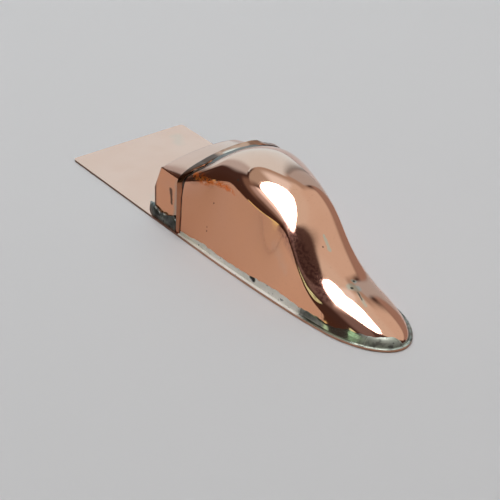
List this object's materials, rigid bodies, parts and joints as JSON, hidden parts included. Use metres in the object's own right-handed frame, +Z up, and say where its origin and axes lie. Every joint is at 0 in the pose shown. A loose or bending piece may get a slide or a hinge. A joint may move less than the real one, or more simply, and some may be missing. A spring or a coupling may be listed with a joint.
{
  "type": "half mould in sheet copper",
  "caption": "Slipper-shaped half mould raised in polished sheet copper on a flat plate with a square tail, an open arched neck, a collar band and soft-soldered joints.",
  "frame": {"origin": "middle of the rectangle that the mould covers, on the surface that it lies on", "axes": "+X from the tail's end towards the toe, +Y from the straight side across to the round side, +Z up"},
  "size_m": [0.1204, 0.0356, 0.0234],
  "materials": {
    "polished_copper": "polished sheet copper with fine scratches and small stains",
    "plate_copper": "polished sheet copper plate, slightly dulled",
    "grey_solder": "smeared grey-green soft solder with black flux pits",
    "dark_solder": "dark flux-stained soft solder"
  },
  "bodies": {
    "root": {"base_plate": "plate_copper", "body_shell": "polished_copper", "neck_sleeve": "polished_copper", "collar_band": "polished_copper", "body_foot_solder": "grey_solder", "collar_front_solder": "grey_solder", "collar_rear_solder": "grey_solder", "neck_near_solder": "dark_solder", "neck_far_solder": "dark_solder"}
  },
  "joints": []
}
